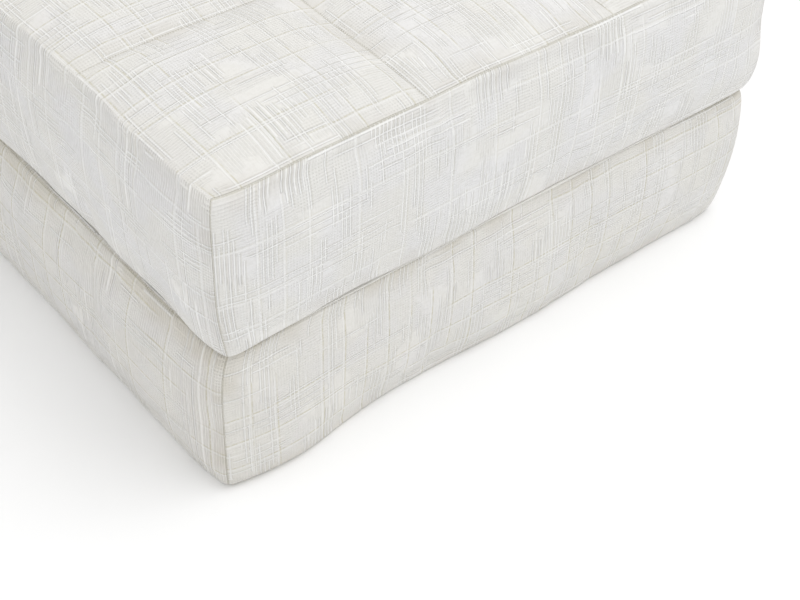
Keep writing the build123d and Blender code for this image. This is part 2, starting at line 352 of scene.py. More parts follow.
def cubicWeights(coarse, fine):
    # rows that blend four neighbours of an even grid, by the smooth cubic that passes through them
    t = np.interp(fine, coarse, np.arange(len(coarse)))
    at = np.clip(np.floor(t).astype(int), 0, len(coarse) - 2)
    f = t - at
    four = [-0.5 * f + f ** 2 - 0.5 * f ** 3, 1 - 2.5 * f ** 2 + 1.5 * f ** 3,
            0.5 * f + 2 * f ** 2 - 1.5 * f ** 3, -0.5 * f ** 2 + 0.5 * f ** 3]
    rows = np.zeros((len(fine), len(coarse)))
    for step, weight in enumerate(four):
        np.add.at(rows, (np.arange(len(fine)), np.clip(at + step - 1, 0, len(coarse) - 1)), weight)
    return rows


def puffedMove(block, data):
    # the cage's moves, carried over to the fine grid panel by panel
    mesh, coarse = blockMesh("cage", block, cage["tileSteps"], cage["sideSteps"], 0.0)
    piece = bpy.data.objects.new("cage", mesh)
    bpy.context.scene.collection.objects.link(piece)
    pressed = coarse["onLow"] & (block["lowCrown"] < puff["pressed"])
    pressed = pressed | (coarse["onHigh"] & (block["highCrown"] < puff["pressed"]))
    free = block["free"](coarse["x"], coarse["y"], coarse["z"])
    held = (coarse["gap"] < 1e-6) | (free < puff["free"]) | pressed
    coarseMove = inflate(piece, held)
    total = np.zeros((len(data["x"]), 3))
    for (side, fixed, end, first, second, turned), rough, fine in zip(panels, coarse["grids"], data["grids"]):
        rowsA = cubicWeights(coarse["axes"][first], data["axes"][first])
        rowsB = cubicWeights(coarse["axes"][second], data["axes"][second])
        total[fine] = np.einsum("ai,ijc,bj->abc", rowsA, coarseMove[rough], rowsB)
    bpy.data.objects.remove(piece)
    bpy.data.meshes.remove(mesh)
    return total


def pinchSeams(mesh, gap, edge):
    # a sewn line is a narrow groove, less a gaussian, with the turned cloth proud beside it at the edges
    normals = readPoints(mesh, "normal")
    line = np.exp(-(gap / seamShape["width"]) ** 2)
    beside = np.exp(-((edge - seamShape["ridgeAt"]) / (0.6 * seamShape["ridgeAt"])) ** 2)
    shift = seamShape["ridge"] * beside * (gap < edge + 1e-6) - seamShape["groove"] * line
    writePoints(mesh, readPoints(mesh) + normals * shift[:, None])


def addPiece(name, mesh):
    piece = bpy.data.objects.new(name, mesh)
    bpy.context.scene.collection.objects.link(piece)
    return piece


def smoothOnce(piece):  # one subdivision, the same in the view and the render
    modifier = piece.modifiers.new("smooth", "SUBSURF")
    modifier.levels = 1
    modifier.render_levels = 1


def makeBlock(name, block, nodes, material, plainMaterial):
    steps = [blockShape[key] for key in ("tileSteps", "sideSteps", "cluster")]
    mesh, data = blockMesh(name, block, *steps)
    piece = addPiece(name, mesh)
    free = block["free"](data["x"], data["y"], data["z"])
    writePoints(mesh, readPoints(mesh) + puffedMove(block, data) * free[:, None])
    pinchSeams(mesh, data["sewn"], data["edge"])
    writePoints(mesh, block["limit"](readPoints(mesh)))
    writeValue(mesh, "seamGap", data["sewn"])
    writeValue(mesh, "rimTintAndShade", data["rim"])
    # per panel: how dark the long lines are, and painted shade for the faces less light reaches
    writeValue(mesh, "shade", np.array(block["shades"])[data["sides"]], "FACE")
    writeValue(mesh, "ribbed", (data["sides"] >= 4).astype(float), "FACE")
    mesh.transform(block["place"])
    mesh.materials.append(material)
    mesh.materials.append(plainMaterial)
    mesh.polygons.foreach_set("material_index", np.isin(data["sides"], block["plainSides"]).astype(np.int32))
    smoothOnce(piece)
    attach(piece, block["body"])
    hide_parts(*nodes)
    print(name, "made:", len(mesh.vertices), "points")
    return piece


# shader groups: each puts out colours, heights and roughness only
def newGroup(name, inputs, outputs=("Colour", "Height", "Roughness")):
    # an input is a name with a number, a colour, or None for a place
    group = bpy.data.node_groups.new(name, "ShaderNodeTree")
    for socketName, value in inputs:
        kind = "Vector" if value is None else "Color" if isinstance(value, tuple) else "Float"
        socket = group.interface.new_socket(name=socketName, in_out="INPUT", socket_type="NodeSocket" + kind)
        if value is not None:
            socket.default_value = value
    for socketName in outputs:
        kind = "Color" if socketName == "Colour" else "Float"
        group.interface.new_socket(name=socketName, in_out="OUTPUT", socket_type="NodeSocket" + kind)
    return group, group.nodes.new("NodeGroupInput").outputs, group.nodes.new("NodeGroupOutput").inputs


def plug(tree, socket, value):  # a number or colour is set on the socket, anything else is linked to it
    if isinstance(value, (int, float, tuple)):
        socket.default_value = value
    elif value is not None:
        tree.links.new(value, socket)


def mathNode(tree, operation, a, b=None):
    node = tree.nodes.new("ShaderNodeMath")
    node.operation = operation
    plug(tree, node.inputs[0], a)
    plug(tree, node.inputs[1], b)
    return node.outputs[0]


def times(tree, a, b):
    return mathNode(tree, "MULTIPLY", a, b)


def addUp(tree, *terms):  # sum of value times factor, over pairs
    total = None
    for value, factor in terms:
        term = times(tree, value, factor)
        total = term if total is None else mathNode(tree, "ADD", total, term)
    return total


def ramp(tree, value, low, high, to0=0.0, to1=1.0):
    node = tree.nodes.new("ShaderNodeMapRange")
    node.interpolation_type = "SMOOTHSTEP"
    for index, item in enumerate((value, low, high, to0, to1)):
        plug(tree, node.inputs[index], item)
    return node.outputs[0]


def combine(tree, x, y, z=0.0):
    node = tree.nodes.new("ShaderNodeCombineXYZ")
    for index, item in enumerate((x, y, z)):
        plug(tree, node.inputs[index], item)
    return node.outputs[0]


def noiseAt(tree, vector, scale, detail=0.0, rough=0.5):
    node = tree.nodes.new("ShaderNodeTexNoise")
    node.inputs["Scale"].default_value = scale
    node.inputs["Detail"].default_value = detail
    node.inputs["Roughness"].default_value = rough
    tree.links.new(vector, node.inputs["Vector"])
    return node.outputs["Fac"]


def blendColour(tree, mask, a, b):
    node = tree.nodes.new("ShaderNodeMix")
    node.data_type = "RGBA"
    sockets = [s for s in node.inputs if s.enabled]
    for socket, value in zip(sockets, (mask, a, b)):
        plug(tree, socket, value)
    return [s for s in node.outputs if s.enabled][0]


def brokenThreadsGroup():
    # parallel threads a pitch apart, each lit only where a noise along it is high, in bunches of neighbours
    group, source, target = newGroup(
        "brokenThreads",
        [("Across", 0.0), ("Along", 0.0), ("Pitch", 0.0045), ("Run", 0.08), ("Bunch", 0.35),
         ("Level", 0.55), ("Half Width", 0.3), ("Seed", 0.0), ("Own", 0.4)],
        ("Thread", "Beside"))
    place = mathNode(group, "DIVIDE", source["Across"], source["Pitch"])
    index = mathNode(group, "FLOOR", place)
    part = mathNode(group, "SUBTRACT", mathNode(group, "FRACT", place), 0.5)
    along = mathNode(group, "DIVIDE", source["Along"], source["Run"])
    # neighbours share a slow noise, and each thread has breaks of its own
    shared = combine(group, times(group, index, source["Bunch"]), along, source["Seed"])
    own = combine(group, times(group, index, 7.31), times(group, along, 1.3),
                  mathNode(group, "ADD", source["Seed"], 5.0))
    both = addUp(group, (noiseAt(group, shared, 1.0), mathNode(group, "SUBTRACT", 1.0, source["Own"])),
                 (noiseAt(group, own, 1.0), source["Own"]))
    mask = ramp(group, both, source["Level"], mathNode(group, "ADD", source["Level"], 0.022))
    width = mathNode(group, "ABSOLUTE", part)
    body = ramp(group, width, source["Half Width"], times(group, source["Half Width"], 0.3))
    aside = times(group, source["Half Width"], 1.35)
    off = mathNode(group, "ABSOLUTE", mathNode(group, "SUBTRACT", part, aside))
    gutter = ramp(group, off, times(group, source["Half Width"], 0.8), 0.0)
    group.links.new(times(group, body, mask), target["Thread"])
    group.links.new(times(group, gutter, mask), target["Beside"])
    return group


brokenThreads = brokenThreadsGroup()


def threads(tree, across, along, pitch, run, bunch, level, half, seed, own=0.4):
    node = tree.nodes.new("ShaderNodeGroup")
    node.node_tree = brokenThreads
    for index, value in enumerate((across, along, pitch, run, bunch, level, half, seed, own)):
        plug(tree, node.inputs[index], value)
    return node.outputs


jacquardLook = {
    "cloth": (0.818, 0.812, 0.790, 1.0),
    "flat": (0.814, 0.813, 0.820, 1.0),
    "thread": (0.930, 0.928, 0.915, 1.0),
    "shadow": (0.610, 0.595, 0.540, 1.0),
    "olive": (0.560, 0.525, 0.385, 1.0),
    "seam": (0.650, 0.632, 0.545, 1.0),
    "beige": (0.685, 0.655, 0.590, 1.0),
    "bump": 0.0008,       # metres of height for a full thread
    "drift": 0.0007,      # how far the threads wander
    "yarn": 430.0,        # ground yarns to the metre
    "stitch": 2200.0,     # turns of the stitching's wave, in radians to the metre
}


def putOut(group, target, *surface):  # links colour, height and roughness to a group's outputs
    for value, socket in zip(surface, target):
        plug(group, socket, value)


def jacquardGroup():
    # ivory jacquard: fine ribs in patches both ways, raised slub threads in bunches, long olive lines
    group, source, target = newGroup(
        "ivoryJacquard",
        [("Pattern", None), ("Seam Gap", 1.0), ("Shade", 0.5), ("Rim", 0.0), ("Ribbed", 0.0)])
    split = group.nodes.new("ShaderNodeSeparateXYZ")
    group.links.new(source["Pattern"], split.inputs[0])
    drift = noiseAt(group, source["Pattern"], 7.0)
    driftBy = times(group, mathNode(group, "SUBTRACT", drift, 0.5), jacquardLook["drift"])
    u = mathNode(group, "ADD", split.outputs[0], driftBy)
    v = mathNode(group, "SUBTRACT", split.outputs[1], driftBy)
    # ribs crowd at a rim, and on a ribbed side they run one way only
    levelAcross = addUp(group, (1.0, 0.455), (source["Rim"], -0.12), (source["Ribbed"], -0.17))
    levelUpright = addUp(group, (1.0, 0.475), (source["Rim"], -0.04), (source["Ribbed"], 0.07))
    levelSlub = addUp(group, (1.0, 0.532), (source["Ribbed"], 0.05))
    # pitch, run, bunch, level, half width, seed, share of noise of its own
    ribAcross = threads(group, v, u, 0.0031, 0.070, 0.075, levelAcross, 0.46, 1.7, 0.16)
    ribUpright = threads(group, u, v, 0.0031, 0.060, 0.080, levelUpright, 0.46, 9.2, 0.16)
    slubUpright = threads(group, u, v, 0.0046, 0.075, 0.24, levelSlub, 0.29, 3.1)
    slubAcross = threads(group, v, u, 0.0080, 0.120, 0.37, 0.545, 0.16, 6.6)
    longUpright = threads(group, u, v, 0.0270, 0.260, 1.30, 0.480, 0.062, 12.4)
    longAcross = threads(group, v, u, 0.0310, 0.280, 1.70, 0.470, 0.054, 15.8)
    tone = noiseAt(group, source["Pattern"], 16.0, 1.0)
    grain = noiseAt(group, source["Pattern"], 800.0, 2.0, 0.7)
    colour = blendColour(group, ramp(group, tone, 0.40, 0.60), jacquardLook["cloth"], jacquardLook["flat"])
    nearEdge = ramp(group, source["Seam Gap"], 0.030, 0.004)
    edgeTint = times(group, nearEdge, ramp(group, tone, 0.42, 0.60))
    rimTintAndShade = times(group, source["Rim"], ramp(group, tone, 0.35, 0.65, 0.55, 1.0))
    # painted shade: the panel's Shade darkens the cloth toward beige, most on the base; the rim and corner
    # tint is partly painted shade too
    tint = addUp(group, (edgeTint, 0.35), (source["Shade"], 0.36), (rimTintAndShade, 0.70))
    colour = blendColour(group, tint, colour, jacquardLook["beige"])
    # yarns of the ground: two noises, each drawn out along one way
    fine, drawn = jacquardLook["yarn"], jacquardLook["yarn"] / 3.2
    alongAcross = combine(group, times(group, u, drawn), times(group, v, fine), 3.0)
    yarnAcross = noiseAt(group, alongAcross, 1.0)
    alongUpright = combine(group, times(group, u, fine), times(group, v, drawn), 8.0)
    yarnUpright = noiseAt(group, alongUpright, 1.0)
    ground = addUp(group, (yarnAcross, 0.9), (yarnUpright, 0.9), (grain, 0.7))
    colour = blendColour(group, ramp(group, ground, 1.42, 0.95, 0.0, 0.15), colour, jacquardLook["shadow"])
    strength = addUp(group, (1.0, 0.42), (source["Ribbed"], 0.06))
    shadeAcross = times(group, ribAcross["Beside"], strength)
    ribShade = mathNode(group, "MAXIMUM", shadeAcross, times(group, ribUpright["Beside"], 0.33))
    colour = blendColour(group, ribShade, colour, jacquardLook["shadow"])
    shade = mathNode(group, "MAXIMUM", slubUpright["Beside"], slubAcross["Beside"])
    colour = blendColour(group, times(group, shade, 0.52), colour, jacquardLook["shadow"])
    olive = mathNode(group, "MAXIMUM", longUpright["Beside"], longAcross["Beside"])
    broken = ramp(group, yarnUpright, 0.40, 0.56, 0.35, 1.0)
    olive = times(group, times(group, olive, broken), source["Shade"])
    colour = blendColour(group, olive, colour, jacquardLook["olive"])
    raised = mathNode(group, "MAXIMUM", slubUpright["Thread"], slubAcross["Thread"])
    longOnes = mathNode(group, "MAXIMUM", longUpright["Thread"], longAcross["Thread"])
    raised = mathNode(group, "MAXIMUM", raised, times(group, longOnes, 0.6))
    # painted shade: on panels of higher Shade the raised threads show less bright
    shown = times(group, raised, addUp(group, (1.0, 0.95), (source["Shade"], -0.55)))
    colour = blendColour(group, shown, colour, jacquardLook["thread"])
    besideSeam = ramp(group, source["Seam Gap"], 0.0040, 0.0)
    nearSeam = times(group, besideSeam, ramp(group, tone, 0.40, 0.62, 0.03, 0.20))
    colour = blendColour(group, nearSeam, colour, jacquardLook["seam"])
    turns = jacquardLook["stitch"]
    waves = [mathNode(group, "SINE", times(group, axis, turns)) for axis in split.outputs[0:2]]
    stitch = mathNode(group, "MAXIMUM", *waves)
    onSeam = ramp(group, source["Seam Gap"], 0.0012, 0.0004)
    onLine = times(group, onSeam, ramp(group, stitch, 0.2, 0.8))
    colour = blendColour(group, times(group, onLine, 0.4), colour, jacquardLook["olive"])
    ribHeight = mathNode(group, "MAXIMUM", ribAcross["Thread"], ribUpright["Thread"])
    ribHeight = times(group, ribHeight, addUp(group, (1.0, 0.50), (source["Ribbed"], 0.35)))
    height = addUp(group, (ribHeight, 1.0), (raised, 0.85), (ground, 0.35), (onLine, -0.5))
    putOut(group, target, colour, height, ramp(group, raised, 0.0, 1.0, 0.92, 0.70))
    return group


def plainWeaveGroup():
    # plain weave: threads over and under both ways, as two sines of which the higher shows
    group, source, target = newGroup(
        "plainWeave",
        [("Pattern", None), ("Pitch", 0.0011),
         ("Warp Colour", (0.76, 0.755, 0.73, 1.0)), ("Gap Colour", (0.56, 0.55, 0.51, 1.0))])
    split = group.nodes.new("ShaderNodeSeparateXYZ")
    group.links.new(source["Pattern"], split.inputs[0])
    waves = []
    for axis in (0, 1):
        turn = mathNode(group, "DIVIDE", times(group, split.outputs[axis], math.pi), source["Pitch"])
        waves.append(mathNode(group, "ABSOLUTE", mathNode(group, "SINE", turn)))
    fibre = noiseAt(group, source["Pattern"], 420.0, 3.0, 0.65)
    blotch = noiseAt(group, source["Pattern"], 14.0, 2.0)
    weave = mathNode(group, "MAXIMUM", waves[0], waves[1])
    height = addUp(group, (weave, 0.7), (fibre, 0.5))
    colour = blendColour(group, ramp(group, height, 0.35, 0.95), source["Gap Colour"], source["Warp Colour"])
    colour = blendColour(group, ramp(group, blotch, 0.3, 0.8, 0.0, 0.10), colour, source["Gap Colour"])
    putOut(group, target, colour, height, ramp(group, fibre, 0.2, 0.8, 0.75, 0.95))
    return group


ivoryJacquard = jacquardGroup()
plainWeave = plainWeaveGroup()


def groupMaterial(name, group, bump, settings, feeds):
    # material whose colour, roughness and bump come from a group; settings are constants on the shader
    material = bpy.data.materials.new(name)
    material.use_nodes = True
    tree = material.node_tree
    shader = tree.nodes["Principled BSDF"]
    for socketName, value in settings.items():
        shader.inputs[socketName].default_value = value
    effect = tree.nodes.new("ShaderNodeGroup")
    effect.node_tree = group
    for socketName, value in feeds.items():
        plug(tree, effect.inputs[socketName], value(tree) if callable(value) else value)
    bumpNode = tree.nodes.new("ShaderNodeBump")
    bumpNode.inputs["Distance"].default_value = bump
    tree.links.new(effect.outputs["Height"], bumpNode.inputs["Height"])
    tree.links.new(effect.outputs["Colour"], shader.inputs["Base Color"])
    tree.links.new(effect.outputs["Roughness"], shader.inputs["Roughness"])
    tree.links.new(bumpNode.outputs[0], shader.inputs["Normal"])
    return material


def patternPlace(tree):  # the cloth's own flat pattern, in metres
    node = tree.nodes.new("ShaderNodeUVMap")
    node.uv_map = "pattern"
    return node.outputs[0]


def objectPlace(tree):
    return tree.nodes.new("ShaderNodeTexCoord").outputs["Object"]


def valueOf(name):  # a number stored on the mesh
    def read(tree):
        node = tree.nodes.new("ShaderNodeAttribute")
        node.attribute_name = name
        return node.outputs["Fac"]
    return read


clothShader = {"Specular IOR Level": 0.25, "Sheen Weight": 0.12, "Sheen Roughness": 0.45}
jacquard = groupMaterial("ivoryJacquard", ivoryJacquard, jacquardLook["bump"], clothShader,
                         {"Pattern": patternPlace, "Seam Gap": valueOf("seamGap"), "Shade": valueOf("shade"),
                          "Rim": valueOf("rimTintAndShade"), "Ribbed": valueOf("ribbed")})
plainCloth = groupMaterial("plainUnderside", plainWeave, 0.0003, clothShader, {"Pattern": patternPlace})


# the three blocks
tapeLow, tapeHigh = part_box("base_zip_tape")
tape = {
    "halfWide": (tapeHigh[2] - tapeLow[2]) / 2,
    "halfLong": (tapeHigh[1] - tapeLow[1]) / 2,
    "margin": 0.003,       # flat cloth past the tape's edge
    "reach": 0.030,        # how far from there the cloth is fully free
}
clearance = 0.0004         # air kept to a neighbour


def awayFromZip(level):
    # 0 under the zip's tape on the right side, rising smoothly to 1 with the distance from it
    def free(x, y, z):
        offZ = np.maximum(np.abs(z - level) - tape["halfWide"] - tape["margin"], 0.0)
        offY = np.maximum(np.abs(y - blockShape["length"] / 2) - tape["halfLong"] - tape["margin"], 0.0)
        offX = np.maximum(blockShape["width"] / 2 - x, 0.0)
        return smoothStep(np.sqrt(offX ** 2 + offY ** 2 + offZ ** 2) / tape["reach"])
    return free


facingRise = {"length": 0.06, "height": 0.012}  # over the seat, the back's face may stand this much prouder


def within(lowest, highest, facing=None):
    # keeps a block off what it rests on and leans on; facing holds only the lower part of the back's face
    def limit(points):
        held = np.clip(points, lowest, highest)
        if facing is not None:
            top, level = facing
            above = smoothStep((points[:, 1] - top) / facingRise["length"])
            held[:, 2] = np.minimum(points[:, 2], level + facingRise["height"] * above)
        return held
    return limit


far = 9.0
length = blockShape["length"]
lip = {"crown": 0.0008, "dip": 0.0022}  # the two faces pressed together: their edges nearly meet
seatSeamHigh = seatFrontHigh[2] - seatLevel
backSeamHigh = backEndHigh[1] - backEndLow[1]
backCrown = backEndLow[1] - backFaceY
tileDip = 0.0056           # depth of a channel between two free tiles
# puffs: swelling of the left, right, front and rear side; shades: how dark the long lines are on each panel,
# and how far its cloth is tinted darker and its raised threads dimmed, painted shade where less light
# reaches, most on the base
# rims, lips and corners: rounding at the low and the high edge; fall: how far the left side's top leans in
# the four tints: beige at the rim of the left side, of the front side, of the top's left edge, and painted
# shade about the near corner; on the base the left and front rims lie in the crease under the seat, so there
# the beige is partly painted shade
# lumps: place, reach and move of each
baseBlock = {
    "body": "base", "seed": 0.7, "plainSides": [1], "folded": 0, "lift": 0.0,
    "low": 0.0, "high": baseTop - lip["crown"],
    "lowCrown": 0.0, "lowDip": 0.0, "highCrown": lip["crown"], "highDip": lip["dip"],
    "frontDraw": blockShape["draw"], "puffs": (0.0065, 0.0, 0.0015, -0.0010), "fall": 0.0080,
    "rims": (0.0050, 0.0028), "lips": (0.0020, 0.0032), "corners": (0.0030, 0.0045),
    "shades": (0.5, 0.5, 0.70, 0.65, 0.80, 0.65), "tintsAndShade": (1.0, 0.7, 0.3, 0.50),
    "lumps": [
        (0.35, 0.0, 0.105, 0.055, 0.003, -0.001, 0.0), (0.35, 0.0, 0.0, 0.050, -0.007, 0.003, 0.0),
        (-0.27, 0.0, 0.0, 0.060, 0.0, -0.010, 0.0), (-0.13, 0.0, 0.0, 0.045, 0.0, 0.001, 0.0),
        (0.05, 0.0, 0.0, 0.070, 0.0, -0.004, 0.0), (-0.35, 0.30, 0.14, 0.080, -0.003, 0.0, 0.0),
        (-0.35, 0.13, 0.05, 0.070, -0.002, 0.0, 0.0)],
    "free": awayFromZip(baseFrontHigh[2] / 2), "place": Matrix.Translation((midX, frontY, 0.0)),
    "limit": within((-far, -far, 0.0), (far, length, baseTop)),
}
seatBlock = {
    "body": "seat", "seed": 2.9, "plainSides": [], "folded": 1, "lift": 1.0,
    "low": lip["crown"], "high": seatSeamHigh,
    "lowCrown": lip["crown"], "lowDip": lip["dip"],
    "highCrown": seatTop - seatFrontHigh[2], "highDip": tileDip,
    "frontDraw": blockShape["draw"], "puffs": (0.0010, 0.0, 0.0020, -0.0010), "fall": 0.0,
    "rims": (0.0020, 0.0030), "lips": (0.0015, 0.0045), "corners": (0.0055, 0.0030),
    "shades": (0.62, 0.5, 0.22, 0.4, 0.20, 0.4), "tintsAndShade": (0.55, 0.0, 0.50, 0.15),
    "lumps": [
        (-0.35, 0.0, 0.0, 0.035, 0.003, -0.006, 0.0), (0.35, 0.0, 0.035, 0.045, 0.012, -0.002, 0.0),
        (-0.20, 0.0, 0.0, 0.045, 0.0, 0.001, 0.0030), (-0.35, 0.10, 0.012, 0.070, 0.006, 0.0, 0.0),
        (-0.35, 0.22, 0.012, 0.070, 0.006, 0.0, 0.0), (-0.35, 0.35, 0.012, 0.075, 0.006, 0.0, 0.0),
        (-0.35, 0.10, 0.15, 0.080, -0.002, 0.0, 0.0)],
    "free": awayFromZip((seatFrontLow[2] - seatLevel + seatSeamHigh) / 2),
    "place": Matrix.Translation((midX, frontY, seatLevel)),
    "limit": within((-far, -far, clearance), (far, length, far)),
}
backFoot = 0.0005          # how far the back's foot is worn flat
backRear = backEndHigh[1]
backBlock = {
    "body": "back", "seed": 5.3, "plainSides": [1], "folded": 0, "lift": 1.0,
    "low": 0.0, "high": backSeamHigh,
    "lowCrown": 0.0, "lowDip": 0.0, "highCrown": backCrown, "highDip": tileDip,
    "frontDraw": 0.0, "puffs": (0.0030, 0.0, 0.0, 0.0030), "fall": 0.0,
    "rims": (0.0030, 0.0030), "lips": (0.0030, 0.0045), "corners": (0.0050, 0.0050),
    "shades": (0.6, 0.5, 0.5, 0.4, 0.40, 0.4), "tintsAndShade": (0.3, 0.3, 0.3, 0.1), "lumps": [],
    "free": awayFromZip(backSeamHigh / 2),
    "place": Matrix.Translation((midX, backRear, -backFoot)) @ Matrix.Rotation(math.pi / 2, 4, "X"),
    "limit": within((-far, backFoot, 0.0), (far, far, far), (seatTop, backSeamHigh + backCrown)),
}
shellNames = ["foam_core", "left_side", "right_side"]
endNames = ["front_side", "rear_side", "upper_wadding", "upper_cover"]


def blockNodes(block, names):
    return [f"{block}_{name}" for name in names]


baseNodes = blockNodes("base", shellNames + endNames + ["floor_cover"])
baseCushion = makeBlock("baseCushion", baseBlock, baseNodes, jacquard, plainCloth)
seatNodes = blockNodes("seat", shellNames + endNames + ["lower_wadding", "lower_cover"])
seatCushion = makeBlock("seatCushion", seatBlock, seatNodes, jacquard, plainCloth)
# the seat folds forward to meet the base; here each of the two cushions only gets a mesh of its own
for cushion, keep in ((baseCushion, 0.991), (seatCushion, 0.989)):
    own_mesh(cushion)
backNames = ["bottom_end", "top_end", "front_wadding", "front_cover", "rear_cover"]
backNodes = blockNodes("back", shellNames + backNames)
makeBlock("backCushion", backBlock, backNodes, jacquard, plainCloth)


# the cloth across the two joints
def sweptStrip(name, centre, thickness, halfWidth, steps, shake):
    # a centre line of (y, z) given half a thickness each way, carried from side to side, both ends closed
    line = np.array(centre, float)
    way = np.gradient(line, axis=0)
    way /= np.linalg.norm(way, axis=1, keepdims=True)
    side = np.stack([-way[:, 1], way[:, 0]], axis=-1) * thickness / 2
    ring = np.concatenate([line + side, (line - side)[::-1]])
    count = len(ring)
    xs = np.linspace(-halfWidth, halfWidth, steps + 1)
    points = np.empty((steps + 1, count, 3))
    points[:, :, 0] = xs[:, None] + midX
    points[:, :, 1] = ring[:, 0] + shake * slowNoise(3.0 * xs[:, None], 4.0 * ring[:, 1], 1.9)
    points[:, :, 2] = ring[:, 1]
    walk = np.concatenate([[0], np.cumsum(np.linalg.norm(np.diff(ring, axis=0), axis=1)), [0]])
    walk[-1] = walk[-2] + thickness
    index = np.arange((steps + 1) * count).reshape(steps + 1, count)
    near, nextRing = index[:, np.arange(count)], index[:, np.roll(np.arange(count), -1)]
    quads = np.stack([near[:-1], near[1:], nextRing[1:], nextRing[:-1]], axis=-1).reshape(-1, 4)
    ua, va = np.meshgrid(xs, walk[:-1], indexing="ij")
    ub, vb = np.meshgrid(xs, walk[1:], indexing="ij")
    first, second = np.stack([ua, va], axis=-1), np.stack([ub, vb], axis=-1)
    patterns = np.stack([first[:-1], first[1:], second[1:], second[:-1]], axis=-2).reshape(-1, 2)
    # each end is a row of faces between the two sides of the centre line
    half = count // 2
    low = np.arange(half - 1)
    cap = np.stack([low, low + 1, count - 2 - low, count - 1 - low], axis=-1)
    capPattern = np.stack([ring[cap][..., 0], ring[cap][..., 1]], axis=-1).reshape(-1, 2)
    quads = np.concatenate([quads, cap, cap[:, ::-1] + steps * count])
    patterns = np.concatenate([patterns, capPattern, capPattern[::-1]])
    mesh = quadMesh(name, points.reshape(-1, 3), quads, patterns)
    return addPiece(name, mesh)


hingeCloth = groupMaterial("hingeCloth", plainWeave, 0.0005, clothShader, {
    "Pattern": patternPlace, "Pitch": 0.0016, "Warp Colour": (0.88, 0.87, 0.84, 1.0),
    "Gap Colour": (0.74, 0.72, 0.66, 1.0)})
stripLow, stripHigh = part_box("front_hinge_strip")
stripMid = (stripLow[2] + stripHigh[2]) / 2
hingeStrip = {
    "mouth": 0.0010,       # half the height of its opening
    "behind": 0.0046,      # from the blocks' front plane to its crest
    "depth": 0.0085,
    "thickness": 0.0008,
    "points": 15,          # along its half ellipse
    "halfWidth": 0.332,
    "steps": 160,          # from side to side
    "shake": 0.0005,       # unevenness of its line
    "bend": 0.0009,        # half the height over which it turns from the base's to the seat's
}


def hingeLine():
    # a half ellipse that opens into the joint, its crest just behind the front seams
    turn = np.linspace(-math.pi / 2, math.pi / 2, hingeStrip["points"])
    y = frontY + hingeStrip["behind"] + hingeStrip["depth"] * (1 - np.cos(turn))
    return np.stack([y, stripMid + hingeStrip["mouth"] * np.sin(turn)], axis=-1)


frontStrip = sweptStrip("frontHingeStrip", hingeLine(), *(
    hingeStrip[key] for key in ("thickness", "halfWidth", "steps", "shake")))
frontStrip.data.materials.append(hingeCloth)
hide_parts("front_hinge_strip")
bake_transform(frontStrip)

flapLow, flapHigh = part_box("rear_hinge_flap")
flapCloth = {
    "thickness": 0.0009,
    "inset": 0.0005,       # from the flap's box to the middle of the cloth
    "turn": 0.0012,        # radius of its tight turn
    "start": 0.0013,       # from its top to where it falls straight
    "leafPoints": 5, "turnPoints": 6, "fallPoints": 40,
    "steps": 60,           # from side to side
    "footRise": 0.030,     # height above the floor from which it goes along with the back
    "footEnd": 0.0035,     # how far below its lower edge it would fully do so
}
flapY = flapHigh[1] - flapCloth["inset"]
flapTop = flapHigh[2] - flapCloth["inset"]


def flapLine():
    # a leaf that lies on the base's rear edge, a tight turn, and a long fall to the back's foot
    radius, leafCount, fallCount = (flapCloth[key] for key in ("turn", "leafPoints", "fallPoints"))
    leaf = np.linspace(flapLow[1], flapY - radius, leafCount)
    turn = np.linspace(math.pi / 2, 0.0, flapCloth["turnPoints"])[1:]
    fall = np.linspace(flapTop - flapCloth["start"], flapLow[2], fallCount)[1:]
    y = np.concatenate([leaf, flapY - radius + radius * np.cos(turn), np.full(len(fall), flapY)])
    z = np.concatenate([np.full(leafCount, flapTop), flapTop - radius + radius * np.sin(turn), fall])
    return np.stack([y, z], axis=-1)


flapHalf = (flapHigh[0] - flapLow[0]) / 2
rearFlap = sweptStrip("rearHingeFlap", flapLine(), flapCloth["thickness"], flapHalf, flapCloth["steps"], 0.0)
rearFlap.data.materials.append(hingeCloth)
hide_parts("rear_hinge_flap")
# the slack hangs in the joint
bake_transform(rearFlap)
print("joint cloths made")


# zips: woven tape with a coil down its middle, and dull nickel sliders
zipLook = {
    "tooth": 0.0022, "twill": 0.0013, "stitch": 0.0042,  # pitches
    "coilEdge": (0.0034, 0.0028), "cleftEdge": (0.0005, 0.0001), "seamEdge": (0.0007, 0.0002),
    "seamAt": 0.0085,      # from the tape's middle to its stitching
    "clothLow": (0.60, 0.59, 0.54, 1.0), "clothHigh": (0.74, 0.73, 0.69, 1.0),
    "coilLow": (0.42, 0.41, 0.37, 1.0), "coilHigh": (0.80, 0.79, 0.76, 1.0),
    "cleft": (0.25, 0.24, 0.21, 1.0), "thread": (0.86, 0.85, 0.82, 1.0),
}


